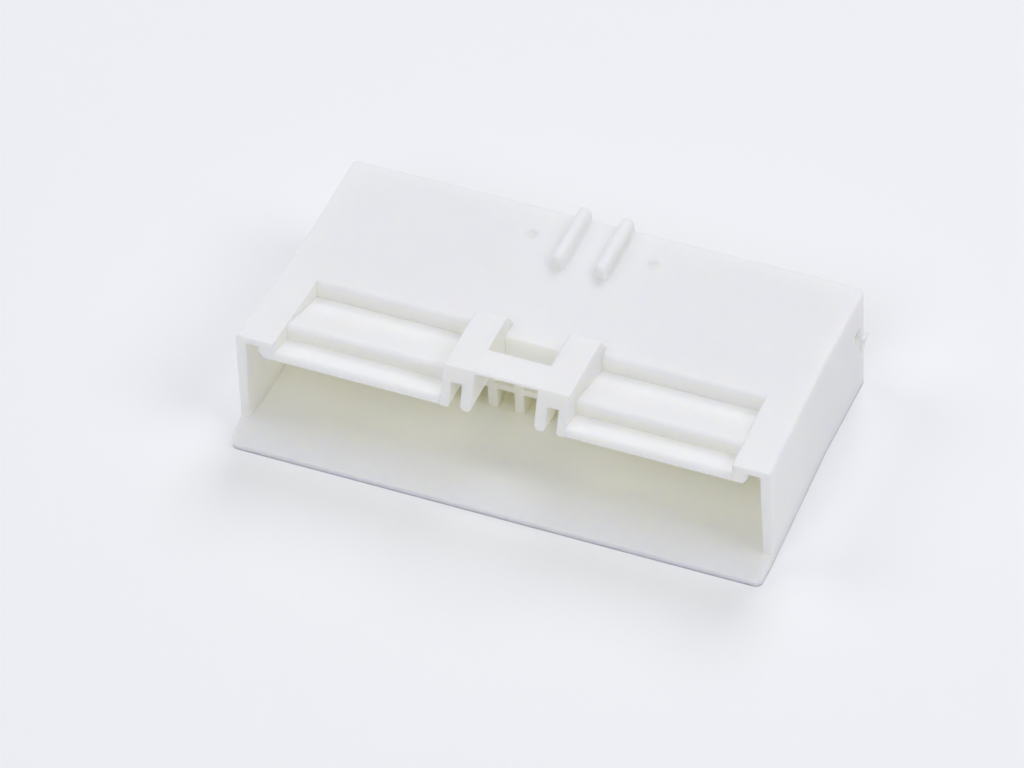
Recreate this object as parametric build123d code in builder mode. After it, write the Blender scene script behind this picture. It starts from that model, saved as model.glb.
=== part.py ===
from build123d import *
import os

# Receptacle housing for a wire to board connector, moulded in one piece, in millimetres.
# The mouth faces -Y and the wire side +Y. The underside lies on Z = 0, centred on the origin.

# Terminal cavities, in two rows behind the mouth
columns = 16
rows = 2
pitch = 2.5
row_pitch = 2.95
row_start = 1.15
row_shift = 0.5
window_width = 1.6
window_height = 2.3
window_web = 1.0
entry_width = 1.9
entry_height = 2.4
cavity_length = 14.9

# Mouth that takes the board header
mouth_depth = 8.6
mouth_height = 7.1
floor_thickness = 1.5
side_wall = 0.75
roof_thickness = 2.1
lead_height = 0.6
lead_length = 1.2

# Key channels at the two ends of the mouth
end_margin = 4.0
channel_width = 1.32
channel_roof = 0.65
channel_draft = 0.2
end_block = 1.38
end_block_slant_width = 0.87
end_block_slant_height = 1.25

# Outer form
flare_length = 14.7
side_flare = 0.6
top_flare = 0.35
rear_corner_cut = 0.4
top_edge_radius = 0.25
flange_length = 2.65
flange_tip = 0.65
flange_corner_radius = 0.7

# Stepped roof panels beside the latch bridge
rear_step_place = 8.75
front_step_place = 2.75
panel_skin = 0.55
lip_skin = 0.8
lip_front = 0.82
crest_radius = 0.55
lip_radius = 0.4

# Latch bridge, raised over the middle of the mouth
bridge_width = 11.6
bridge_rise = 1.9
bridge_fall = 0.15
latch_width = 5.8
outer_wall = 0.84
slot_width = 1.03
slot_rise = 0.45
comb_foot_place = 0.25
comb_top_place = 1.47
comb_lift = 0.25
rail_length = 7.43
ramp_length = 1.1
ramp_radius = 0.5
bar_length = 2.98
bar_edge = 0.28
bar_thickness = 1.5
opening_length = 8.1
bridge_edge_radius = 0.15
rib_foot_radius = 0.45
pillar_foot_radius = 0.2

# Polarising ribs and gate dimples on the rear of the top
rib_spacing = 4.0
rib_width = 1.2
rib_height = 1.35
rib_length = 6.75
rib_end_radius = 0.35
rib_base_radius = 0.3
dimple_spacing = 11.34
dimple_place = 3.37
dimple_diameter = 1.0
dimple_depth = 0.2

# Stop wedge and relief on each side, near the rear
wedge_reach = 0.4
wedge_height = 1.9
wedge_base = 4.0
wedge_length = 1.0
wedge_place = 0.2
relief_depth = 0.5
relief_height = 1.2
relief_base = 6.2
relief_length = 1.2
relief_place = 1.3

# How far a cutting shape reaches past the surface that it opens, and how closely places are compared
overcut = 1.0
tolerance = 0.001

# Overall sizes
body_width = columns * pitch + 2 * end_margin
body_height = floor_thickness + mouth_height + roof_thickness
body_depth = mouth_depth + window_web + cavity_length
mouth_top = floor_thickness + mouth_height
bridge_top = body_height + bridge_rise

# Places along Y
front_y = (flange_length - body_depth) / 2
tip_y = front_y - flange_length
rear_y = front_y + body_depth
flare_y = front_y + flare_length
back_wall_y = front_y + mouth_depth
rear_step_y = front_y + rear_step_place
front_step_y = front_y + front_step_place
comb_foot_y = front_y + comb_foot_place
comb_top_y = front_y + comb_top_place
rail_rear_y = comb_top_y + rail_length
ramp_foot_y = rail_rear_y + ramp_length
bar_rear_y = comb_top_y + bar_length
opening_rear_y = front_y + opening_length

# Places along X, from the middle
bridge_half = bridge_width / 2
latch_half = latch_width / 2
slot_x = bridge_half - outer_wall - slot_width / 2
channel_x = body_width / 2 + side_flare - side_wall - channel_width
slant_x = channel_x - end_block_slant_width
panel_margin = side_wall + channel_width + end_block

# Places along Z
cut_z = bridge_top + overcut
comb_foot_z = mouth_top + comb_lift
rim_z = mouth_top + lead_height
lip_z = rim_z + lip_front
lip_base_z = rim_z + lip_front / 4
slot_top_z = body_height + slot_rise
slant_z = mouth_top + end_block_slant_height
row_middle_z = floor_thickness + row_start + row_pitch * (rows - 1) / 2


# Share of the flare at y: none behind the flare and all of it at the mouth's rim
def flare(y):
    return max(0.0, (flare_y - y) / flare_length)


def half_width(y):
    return body_width / 2 + side_flare * flare(y)


def top_z(y):
    return body_height + top_flare * flare(y)


# Height of the bridge's top, which falls a little towards the rear
def rail_top(y):
    return bridge_top - bridge_fall * (y - comb_top_y) / rail_length


# Section of the mouth at y: a wide slot with a raised key channel at either end
def mouth_outline(y):
    inner = half_width(y) - side_wall
    channel_top = top_z(y) - channel_roof
    return [
        (-inner, floor_thickness),
        (inner, floor_thickness),
        (inner - channel_draft, channel_top),
        (channel_x, channel_top),
        (channel_x, slant_z),
        (slant_x, mouth_top),
        (-slant_x, mouth_top),
        (-channel_x, slant_z),
        (-channel_x, channel_top),
        (-inner + channel_draft, channel_top),
    ]


# Outer end of the stepped panels at y, which follows the flare
def panel_end(y):
    return half_width(y) - panel_margin


# Corners of a sketch that lie at the given points
def corners_at(sketch, points):
    wanted = [Vector(*point) for point in points]
    return [v for v in sketch.vertices() if any((v.center() - p).length < tolerance for p in wanted)]


# Saw-tooth steps that are sunk into the roof beside the bridge, as the shape cut away on one side
rear_crest = (rear_step_y, top_z(rear_step_y))
front_crest = (front_step_y, top_z(front_step_y))
lip_edge = (front_y, lip_z)
steps_front_y = front_y - overcut
steps_rear_y = rear_step_y + overcut
with BuildPart() as panel_steps:
    with BuildSketch(Plane.YZ.offset(bridge_half)) as steps:
        with BuildLine():
            Polyline(
                (steps_rear_y, cut_z),
                (steps_rear_y, top_z(steps_rear_y)),
                rear_crest,
                (rear_step_y, mouth_top + panel_skin),
                front_crest,
                (front_step_y, mouth_top + lip_skin),
                lip_edge,
                (front_y, lip_base_z),
                (steps_front_y, lip_base_z),
                (steps_front_y, cut_z),
                close=True,
            )
        make_face()
        fillet(corners_at(steps, [rear_crest, front_crest]), crest_radius)
        fillet(corners_at(steps, [lip_edge]), lip_radius)
    extrude(amount=panel_end(steps_front_y) - bridge_half)
    with BuildSketch():
        with BuildLine():
            Polyline(
                (bridge_half, steps_front_y),
                (panel_end(steps_front_y), steps_front_y),
                (panel_end(steps_rear_y), steps_rear_y),
                (bridge_half, steps_rear_y),
                close=True,
            )
        make_face()
    extrude(amount=cut_z, mode=Mode.INTERSECT)


# Straight edges along Y that lie at height z, at one of the given distances from the middle
def long_edges(part, z, places):
    level = [e for e in part.edges().filter_by(Axis.Y) if abs(e.center().Z - z) < tolerance]
    return [e for e in level if any(abs(abs(e.center().X) - x) < tolerance for x in places)]


with BuildPart() as housing:
    # Straight rear block, its upright rear corners cut
    with BuildSketch(Plane.XZ.offset(-rear_y)):
        Rectangle(body_width, body_height, align=(Align.CENTER, Align.MIN))
    extrude(amount=rear_y - flare_y)
    chamfer(housing.edges().filter_by(Axis.Z).group_by(Axis.Y)[-1], rear_corner_cut)

    # Mouth end, which flares to both sides and upwards
    with BuildSketch(Plane.XZ.offset(-flare_y)):
        Rectangle(body_width, body_height, align=(Align.CENTER, Align.MIN))
    with BuildSketch(Plane.XZ.offset(-front_y)):
        Rectangle(2 * half_width(front_y), top_z(front_y), align=(Align.CENTER, Align.MIN))
    loft(ruled=True)
    side_edges = housing.edges().filter_by(
        lambda e: e.center().Z > body_height - tolerance and abs(e.center().X) > body_width / 2 - tolerance
    )
    fillet(side_edges, top_edge_radius)

    # Floor flange in front of the mouth, thinner towards its tip
    with BuildSketch(Plane.YZ):
        with BuildLine():
            Polyline(
                (front_y, 0),
                (tip_y, 0),
                (tip_y, flange_tip),
                (front_y, floor_thickness),
                close=True,
            )
        make_face()
    extrude(amount=half_width(front_y), both=True)
    fillet(housing.edges().filter_by(Axis.Z).group_by(Axis.Y)[0], flange_corner_radius)

    # Mouth with its key channels, narrowing with the flare
    with BuildSketch(Plane.XZ.offset(-front_y)):
        with BuildLine():
            Polyline(*mouth_outline(front_y), close=True)
        make_face()
    with BuildSketch(Plane.XZ.offset(-back_wall_y)):
        with BuildLine():
            Polyline(*mouth_outline(back_wall_y), close=True)
        make_face()
    loft(ruled=True, mode=Mode.SUBTRACT)

    # Lead-in along the roof's lower front edge
    with BuildSketch(Plane.YZ):
        with BuildLine():
            Polyline(
                (front_y, mouth_top),
                (front_y, rim_z),
                (front_y + lead_length, mouth_top),
                close=True,
            )
        make_face()
    extrude(amount=channel_x, both=True, mode=Mode.SUBTRACT)

    # Stepped panels on both sides of the bridge
    add(panel_steps.part, mode=Mode.SUBTRACT)
    mirror(panel_steps.part, about=Plane.YZ, mode=Mode.SUBTRACT)

    # The roof is open between the panels, down into the mouth
    with BuildSketch(Plane.YZ):
        with BuildLine():
            Polyline(
                (front_y - overcut, mouth_top - overcut),
                (opening_rear_y, mouth_top - overcut),
                (opening_rear_y, cut_z),
                (front_y - overcut, cut_z),
                close=True,
            )
        make_face()
    extrude(amount=bridge_half, both=True, mode=Mode.SUBTRACT)

    # Two rails carry the bridge: a leaning comb face in front and a ramp down behind
    ramp_crest = (rail_rear_y, rail_top(rail_rear_y))
    for start_x in (latch_half, -bridge_half):
        with BuildSketch(Plane.YZ.offset(start_x)) as rail:
            with BuildLine():
                Polyline(
                    (comb_foot_y, comb_foot_z),
                    (comb_top_y, bridge_top),
                    ramp_crest,
                    (ramp_foot_y, top_z(ramp_foot_y)),
                    (ramp_foot_y, comb_foot_z),
                    close=True,
                )
            make_face()
            fillet(corners_at(rail, [ramp_crest]), ramp_radius)
        extrude(amount=bridge_half - latch_half)

    # A slot in each rail parts it into an outer wall and an inner rib
    slot_height = slot_top_z - mouth_top + overcut
    with BuildSketch(Plane.XZ.offset(-opening_rear_y)):
        with Locations((-slot_x, mouth_top - overcut), (slot_x, mouth_top - overcut)):
            Rectangle(slot_width, slot_height, align=(Align.CENTER, Align.MIN))
    extrude(amount=opening_length + overcut, mode=Mode.SUBTRACT)
    inner_wall_x = slot_x - slot_width / 2
    outer_wall_x = slot_x + slot_width / 2
    fillet(long_edges(housing, comb_foot_z, [latch_half, inner_wall_x]), rib_foot_radius)
    fillet(long_edges(housing, comb_foot_z, [outer_wall_x]), pillar_foot_radius)

    # Latch bar between the rails, thin in front and thick behind
    with BuildSketch(Plane.YZ):
        with BuildLine():
            Polyline(
                (comb_top_y, bridge_top - bar_edge),
                (comb_top_y, bridge_top),
                (bar_rear_y, rail_top(bar_rear_y)),
                (bar_rear_y, rail_top(bar_rear_y) - bar_thickness),
                close=True,
            )
        make_face()
    extrude(amount=latch_half, both=True)
    bridge_edges = housing.edges().filter_by(
        lambda e: e.center().Z > slot_top_z and abs(abs(e.center().X) - bridge_half) < tolerance
    )
    fillet(bridge_edges, bridge_edge_radius)

    # Terminal cavities, entered from the rear and opening into the mouth by smaller windows
    with BuildSketch(Plane.XZ.offset(-rear_y)):
        with Locations((row_shift, row_middle_z)):
            with GridLocations(pitch, row_pitch, columns, rows):
                Rectangle(entry_width, entry_height)
    extrude(amount=cavity_length, mode=Mode.SUBTRACT)
    with BuildSketch(Plane.XZ.offset(-rear_y + cavity_length)):
        with Locations((row_shift, row_middle_z)):
            with GridLocations(pitch, row_pitch, columns, rows):
                Rectangle(window_width, window_height)
    extrude(amount=window_web, mode=Mode.SUBTRACT)

    # Polarising ribs with rounded backs, along the top to the rear edge
    with BuildSketch(Plane.XZ.offset(-rear_y)):
        with Locations((-rib_spacing / 2, body_height), (rib_spacing / 2, body_height)):
            Rectangle(rib_width, rib_height - rib_width / 2, align=(Align.CENTER, Align.MIN))
        with Locations(
            (-rib_spacing / 2, body_height + rib_height - rib_width / 2),
            (rib_spacing / 2, body_height + rib_height - rib_width / 2),
        ):
            Circle(rib_width / 2)
    extrude(amount=rib_length)
    rib_front_y = rear_y - rib_length
    rib_ends = housing.edges().filter_by(
        lambda e: e.center().Z > body_height + tolerance and abs(e.center().Y - rib_front_y) < tolerance
    )
    fillet(rib_ends, rib_end_radius)
    rib_bases = housing.edges().filter_by(
        lambda e: abs(e.center().Z - body_height) < tolerance
        and abs(e.center().X) < rib_spacing
        and rib_front_y - tolerance < e.center().Y < rear_y - tolerance
    )
    fillet(rib_bases, rib_base_radius)

    # Shallow round gate dimples beside the ribs
    dimple_radius = (dimple_diameter**2 / 4 + dimple_depth**2) / (2 * dimple_depth)
    dimple_z = body_height - dimple_depth + dimple_radius
    with Locations(
        (-dimple_spacing / 2, rear_y - dimple_place, dimple_z),
        (dimple_spacing / 2, rear_y - dimple_place, dimple_z),
    ):
        Sphere(dimple_radius, mode=Mode.SUBTRACT)

    # Relief and stop wedge on each side
    wedge_top = wedge_base + wedge_height
    wedge_rear_y = rear_y - wedge_place
    relief_rear_y = rear_y - relief_place
    for side in (-1, 1):
        with BuildSketch(Plane.XZ.offset(-wedge_rear_y)):
            with BuildLine():
                Polyline(
                    (side * body_width / 2, wedge_base),
                    (side * (body_width / 2 + wedge_reach), wedge_top),
                    (side * (body_width / 2 - wedge_reach), wedge_top),
                    (side * (body_width / 2 - wedge_reach), wedge_base),
                    close=True,
                )
            make_face()
        extrude(amount=wedge_length)
        with BuildSketch(Plane.XZ.offset(-relief_rear_y)):
            with Locations((side * body_width / 2, relief_base)):
                Rectangle(2 * relief_depth, relief_height, align=(Align.CENTER, Align.MIN))
        extrude(amount=relief_length, mode=Mode.SUBTRACT)

housing.part.label = "housing"
os.makedirs("parts", exist_ok=True)
export_step(housing.part, "parts/housing.step")

bounds = housing.part.bounding_box()
print("size", bounds.size, "volume", round(housing.part.volume, 1), "solids", len(housing.solids()))
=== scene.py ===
import math
import bmesh
import bpy
from mathutils import Matrix, Vector


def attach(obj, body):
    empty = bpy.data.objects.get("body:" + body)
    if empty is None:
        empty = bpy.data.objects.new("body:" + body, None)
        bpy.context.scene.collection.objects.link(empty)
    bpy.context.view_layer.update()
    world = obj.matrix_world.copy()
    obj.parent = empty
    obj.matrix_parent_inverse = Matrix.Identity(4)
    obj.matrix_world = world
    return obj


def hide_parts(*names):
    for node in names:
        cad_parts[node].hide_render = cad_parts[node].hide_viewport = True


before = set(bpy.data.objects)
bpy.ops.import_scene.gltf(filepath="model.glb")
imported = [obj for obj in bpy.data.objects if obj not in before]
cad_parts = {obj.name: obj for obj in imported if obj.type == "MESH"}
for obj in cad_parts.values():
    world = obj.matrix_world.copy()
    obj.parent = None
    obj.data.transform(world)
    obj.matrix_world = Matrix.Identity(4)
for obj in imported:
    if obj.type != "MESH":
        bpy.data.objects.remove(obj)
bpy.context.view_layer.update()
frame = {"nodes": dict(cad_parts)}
print("frame loaded:", ", ".join(frame["nodes"]))

scene = bpy.context.scene
scene.view_settings.view_transform = "Standard"

# The white walls pass light on many times before it fades
lightPaths = {"all": 24, "diffuse": 20}
scene.cycles.max_bounces = lightPaths["all"]
scene.cycles.diffuse_bounces = lightPaths["diffuse"]

mm = 0.001

# Camera: angles round the housing in degrees, and the pixel at which the aimed point shows
cameraSetup = {
    "azimuth": 23.88,
    "elevation": 43.79,
    "roll": -2.42,
    "distance": 0.7172,
    "focalPixels": 8282.0,
    "imageSize": (1024, 768),
    "aim": (0.0, 1.075 * mm, 5.0 * mm),
    "aimPixel": (554.9, 364.5),
    "sensor": 36.0,
}


def makeCamera(setup):
    azimuth = math.radians(setup["azimuth"])
    elevation = math.radians(setup["elevation"])
    roll = math.radians(setup["roll"])
    back = Vector((
        math.sin(azimuth) * math.cos(elevation),
        -math.cos(azimuth) * math.cos(elevation),
        math.sin(elevation),
    ))
    level = Vector((0, 0, 1)).cross(back).normalized()
    upright = back.cross(level)
    right = level * math.cos(roll) + upright * math.sin(roll)
    up = upright * math.cos(roll) - level * math.sin(roll)
    perPixel = setup["distance"] / setup["focalPixels"]
    offRight = (setup["aimPixel"][0] - setup["imageSize"][0] / 2) * perPixel
    offDown = (setup["aimPixel"][1] - setup["imageSize"][1] / 2) * perPixel
    data = bpy.data.cameras.new("photoCamera")
    data.sensor_width = setup["sensor"]
    data.lens = setup["focalPixels"] / setup["imageSize"][0] * setup["sensor"]
    camera = bpy.data.objects.new("photoCamera", data)
    place = Vector(setup["aim"]) + back * setup["distance"] - right * offRight + up * offDown
    turn = Matrix((right, up, back)).transposed().to_4x4()
    camera.matrix_world = Matrix.Translation(place) @ turn
    scene.collection.objects.link(camera)
    scene.camera = camera


makeCamera(cameraSetup)
print("camera set")


# One output of a node tree; arithmetic on it adds Math nodes
class Value:
    def __init__(self, recipe, socket):
        self.recipe = recipe
        self.socket = socket

    def maths(self, operation, *terms):
        return self.recipe.node("ShaderNodeMath", {"operation": operation}, dict(enumerate(terms)))

    def __add__(self, other):
        return self.maths("ADD", self, other)

    def __radd__(self, other):
        return self.maths("ADD", other, self)

    def __sub__(self, other):
        return self.maths("SUBTRACT", self, other)

    def __rsub__(self, other):
        return self.maths("SUBTRACT", other, self)

    def __mul__(self, other):
        return self.maths("MULTIPLY", self, other)

    def __rmul__(self, other):
        return self.maths("MULTIPLY", other, self)

    def __abs__(self):
        return self.maths("ABSOLUTE", self)

    # 0 at the range's first number, 1 at its second, and a soft step between them
    def step(self, ends):
        settings = {"interpolation_type": "SMOOTHSTEP"}
        inputs = {"Value": self, "From Min": ends[0], "From Max": ends[1]}
        return self.recipe.node("ShaderNodeMapRange", settings, inputs)


# A node tree in the making; node() adds each of its nodes
class Recipe:
    def __init__(self, tree):
        self.tree = tree
        tree.nodes.clear()

    def node(self, kind, settings=None, inputs=None, output=0):
        made = self.tree.nodes.new(kind)
        for name, value in (settings or {}).items():
            setattr(made, name, value)
        for name, value in (inputs or {}).items():
            if isinstance(value, Value):
                self.tree.links.new(value.socket, made.inputs[name])
            else:
                made.inputs[name].default_value = value
        return Value(self, made.outputs[output])

    # A Mix node repeats its sockets' names for each kind of data, so these two go by number
    def colourMix(self, factor, first, second):
        inputs = {0: factor, 6: first, 7: second}
        return self.node("ShaderNodeMix", {"data_type": "RGBA"}, inputs, output=2)

    def vectorMix(self, factor, first, second):
        inputs = {0: factor, 4: first, 5: second}
        return self.node("ShaderNodeMix", {"data_type": "VECTOR"}, inputs, output=1)

    def noise(self, place, scale, detail):
        inputs = {"Vector": place, "Scale": scale, "Detail": detail}
        return self.node("ShaderNodeTexNoise", inputs=inputs)

    def bump(self, height, distance, normal):
        inputs = {"Height": height, "Distance": distance, "Normal": normal}
        return self.node("ShaderNodeBump", inputs=inputs)

    def finish(self, kind, shader):
        last = self.tree.nodes.new(kind)
        self.tree.links.new(shader.socket, last.inputs["Surface"])


# Natural nylon: cool white skin with a random mottled tone. Painted light makes it brighter and
# faintly yellow in the mouth and on upright step faces, standing in for light caught and bounced
# there; painted shade darkens the gate dimples.
# Each pair is the ends of a soft step: the mask is 0 at the first number and 1 at the second
nylonLook = {
    "skin": (0.900, 0.900, 0.896, 1),
    "skinWarm": (0.892, 0.891, 0.884, 1),
    "mottle": (0.35, 0.75),
    "mottleScale": 260.0,
    "mottleDetail": 3.0,
    # Painted shade: a darker colour in a soft round patch at each gate dimple, where its hollow is
    # shaded
    "paintedDimpleShade": (0.862, 0.860, 0.848, 1),
    "dimple": (5.67 * mm, 10.2 * mm, 10.7 * mm),
    "inDimple": (0.9 * mm, 0.5 * mm),
    # Painted light: brighter and yellower than the skin, standing in for light trapped and bounced
    # in the mouth
    "paintedTrappedLight": (0.994, 0.986, 0.884, 1),
    # Where the painted trapped light goes: inside the mouth and the cavities
    "behindRim": (-11.2 * mm, -7.5 * mm),
    "beforeRear": (13.3 * mm, 12.5 * mm),
    "underRoof": (9.3 * mm, 8.1 * mm),
    "aboveFloor": (0.2 * mm, 0.9 * mm),
    "betweenEnds": (23.6 * mm, 23.4 * mm),
    # Upright faces among the roof's steps, picked out by their facing, get a smaller share of the
    # painted light
    "riserLightShare": 0.45,
    "upright": (0.5, 0.1),
    "behindLip": (-10.3 * mm, -10.0 * mm),
    "beforeTop": (-1.8 * mm, -2.0 * mm),
    "besidePanels": (21.4 * mm, 21.2 * mm),
    # Surface and edges; the rounding look stops short of the table
    "roughness": 0.60,
    "roughnessSpread": 0.10,
    "gloss": 0.3,
    "ior": 1.5,
    "grainScale": 9000.0,
    "grainDetail": 2.0,
    "grainHeight": 0.004 * mm,
    "rippleScale": 420.0,
    "rippleDetail": 1.0,
    "rippleHeight": 0.02 * mm,
    "edgeRadius": 0.12 * mm,
    "edgeSamples": 6,
    "offTable": (0.14 * mm, 0.28 * mm),
    # How far light travels inside the wall
    "inner": 0.9,
    "innerReach": (1.0, 0.95, 0.70),
    "innerScale": 1.0 * mm,
}


def nylonColourAndPaintedLight(recipe, look, place, axes):
    alongX, acrossY, upZ = axes
    mottle = recipe.noise(place, look["mottleScale"], look["mottleDetail"])
    skin = recipe.colourMix(mottle.step(look["mottle"]), look["skin"], look["skinWarm"])

    # Painted shade in both dimples, done as one by mirroring them onto the right
    mirrored = recipe.node("ShaderNodeCombineXYZ", inputs={0: abs(alongX), 1: acrossY, 2: upZ})
    between = {0: mirrored, 1: look["dimple"]}
    fromDimple = recipe.node(
        "ShaderNodeVectorMath", {"operation": "DISTANCE"}, between, output="Value"
    )
    skin = recipe.colourMix(fromDimple.step(look["inDimple"]), skin, look["paintedDimpleShade"])

    # Painted light inside the mouth: a brighter, yellower colour where light is trapped
    underRoof = upZ.step(look["underRoof"])
    mouthLightMask = acrossY.step(look["behindRim"]) * acrossY.step(look["beforeRear"])
    mouthLightMask = mouthLightMask * underRoof * upZ.step(look["aboveFloor"])
    mouthLightMask = mouthLightMask * abs(alongX).step(look["betweenEnds"])

    # Upright step faces are picked out by their normal for a share of the painted light
    normal = recipe.node("ShaderNodeTexCoord", output="Normal")
    facingUp = recipe.node("ShaderNodeSeparateXYZ", inputs={0: normal}, output="Z")
    riserLightMask = abs(facingUp).step(look["upright"]) * (1 - underRoof)
    riserLightMask = riserLightMask * acrossY.step(look["behindLip"]) * acrossY.step(look["beforeTop"])
    riserLightMask = riserLightMask * abs(alongX).step(look["besidePanels"])
    # Mix in the painted light: full in the mouth, a share on the upright step faces
    return recipe.colourMix(mouthLightMask + riserLightMask * look["riserLightShare"], skin, look["paintedTrappedLight"])


def makeNylon(look):
    material = bpy.data.materials.new("naturalNylonWithPaintedLight")
    material.use_nodes = True
    recipe = Recipe(material.node_tree)
    place = recipe.node("ShaderNodeTexCoord", output="Object")
    axes = [recipe.node("ShaderNodeSeparateXYZ", inputs={0: place}, output=axis) for axis in "XYZ"]
    grain = recipe.noise(place, look["grainScale"], look["grainDetail"])
    ripple = recipe.noise(place, look["rippleScale"], look["rippleDetail"])

    beveled = recipe.node(
        "ShaderNodeBevel", {"samples": look["edgeSamples"]}, {"Radius": look["edgeRadius"]}
    )
    flat = recipe.node("ShaderNodeNewGeometry", output="Normal")
    rounded = recipe.vectorMix(axes[2].step(look["offTable"]), flat, beveled)
    rippled = recipe.bump(ripple, look["rippleHeight"], rounded)

    smoothest = look["roughness"] - look["roughnessSpread"] / 2
    shader = recipe.node(
        "ShaderNodeBsdfPrincipled",
        inputs={
            "Base Color": nylonColourAndPaintedLight(recipe, look, place, axes),
            "Roughness": grain * look["roughnessSpread"] + smoothest,
            "Normal": recipe.bump(grain, look["grainHeight"], rippled),
            "IOR": look["ior"],
            "Specular IOR Level": look["gloss"],
            "Subsurface Weight": look["inner"],
            "Subsurface Radius": look["innerReach"],
            "Subsurface Scale": look["innerScale"],
        },
    )
    recipe.finish("ShaderNodeOutputMaterial", shader)
    return material


nylon = makeNylon(nylonLook)
print("nylon made")


# The housing as one welded skin, so that its rounded edges shade smoothly
housingSkin = {"weld": 0.0005 * mm, "sharpAngle": math.radians(28), "normalWeight": 90}


def makeHousing(setup):
    mesh = frame["nodes"]["housing"].data.copy()
    mesh.name = "housingSkin"
    skin = bmesh.new()
    skin.from_mesh(mesh)
    bmesh.ops.remove_doubles(skin, verts=skin.verts, dist=setup["weld"])
    for face in skin.faces:
        face.smooth = True
    for edge in skin.edges:
        edge.smooth = edge.is_manifold and edge.calc_face_angle(0) < setup["sharpAngle"]
    skin.to_mesh(mesh)
    skin.free()
    mesh.materials.clear()
    mesh.materials.append(nylon)
    piece = bpy.data.objects.new("housingSkin", mesh)
    scene.collection.objects.link(piece)
    flatter = piece.modifiers.new("flatFaces", "WEIGHTED_NORMAL")
    flatter.weight = setup["normalWeight"]
    flatter.keep_sharp = True
    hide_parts("housing")
    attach(piece, "root")
    return piece


housing = makeHousing(housingSkin)
print("housing dressed:", len(housing.data.polygons), "faces")


# Pale floor
floorLook = {
    "size": 3.0,
    "colour": (0.985, 0.985, 0.985, 1),
    "grainScale": 900.0,
    "grainDetail": 2.0,
    "roughness": 0.6,
    "roughnessSpread": 0.1,
    "gloss": 0.2,
}


def makeFloor(look):
    material = bpy.data.materials.new("paleFloor")
    material.use_nodes = True
    recipe = Recipe(material.node_tree)
    place = recipe.node("ShaderNodeTexCoord", output="Object")
    grain = recipe.noise(place, look["grainScale"], look["grainDetail"])
    shader = recipe.node(
        "ShaderNodeBsdfPrincipled",
        inputs={
            "Base Color": look["colour"],
            "Roughness": grain * look["roughnessSpread"] + look["roughness"],
            "Specular IOR Level": look["gloss"],
        },
    )
    recipe.finish("ShaderNodeOutputMaterial", shader)
    flat = bmesh.new()
    bmesh.ops.create_grid(flat, x_segments=1, y_segments=1, size=look["size"] / 2)
    mesh = bpy.data.meshes.new("paleFloor")
    flat.to_mesh(mesh)
    flat.free()
    mesh.materials.append(material)
    floor = bpy.data.objects.new("paleFloor", mesh)
    scene.collection.objects.link(floor)


makeFloor(floorLook)
print("floor laid")


# Even pale light from all round; the backdrop is what the camera and the gloss see of it
surroundLook = {
    "colour": (0.945, 0.953, 1.0, 1),
    "strength": 0.326,
    "backdrop": (0.879, 0.887, 0.930, 1),
    "backdropStrength": 1.0,
}


def makeSurround(look):
    world = bpy.data.worlds.new("paleSurround")
    world.use_nodes = True
    scene.world = world
    recipe = Recipe(world.node_tree)
    camera, glossy, through = [
        recipe.node("ShaderNodeLightPath", output=ray)
        for ray in ("Is Camera Ray", "Is Glossy Ray", "Is Transmission Ray")
    ]
    glow = recipe.node(
        "ShaderNodeBackground", inputs={"Color": look["colour"], "Strength": look["strength"]}
    )
    seen = recipe.node(
        "ShaderNodeBackground",
        inputs={"Color": look["backdrop"], "Strength": look["backdropStrength"]},
    )
    both = {0: camera + glossy + through, 1: glow, 2: seen}
    recipe.finish("ShaderNodeOutputWorld", recipe.node("ShaderNodeMixShader", inputs=both))


makeSurround(surroundLook)
print("surround set")


# Four soft round lamps, all turned to the housing
lampSetup = {
    "size": 0.5,
    "colour": (0.945, 0.953, 1.0),
    "lamps": [
        {"name": "lampBehind", "place": (0.0, 0.6, 0.65), "power": 2.15},
        {"name": "lampInFront", "place": (0.0, -0.6, 0.65), "power": 1.54},
        {"name": "lampRight", "place": (0.6, 0.0, 0.65), "power": 1.66},
        {"name": "lampLeft", "place": (-0.6, 0.0, 0.65), "power": 1.24},
    ],
}


def makeLamps(setup):
    for lamp in setup["lamps"]:
        data = bpy.data.lights.new(lamp["name"], "AREA")
        data.shape = "DISK"
        data.size = setup["size"]
        data.energy = lamp["power"]
        data.color = setup["colour"]
        light = bpy.data.objects.new(lamp["name"], data)
        light.location = lamp["place"]
        light.rotation_mode = "QUATERNION"
        light.rotation_quaternion = Vector(lamp["place"]).to_track_quat("Z", "Y")
        scene.collection.objects.link(light)


makeLamps(lampSetup)
print("lamps set")
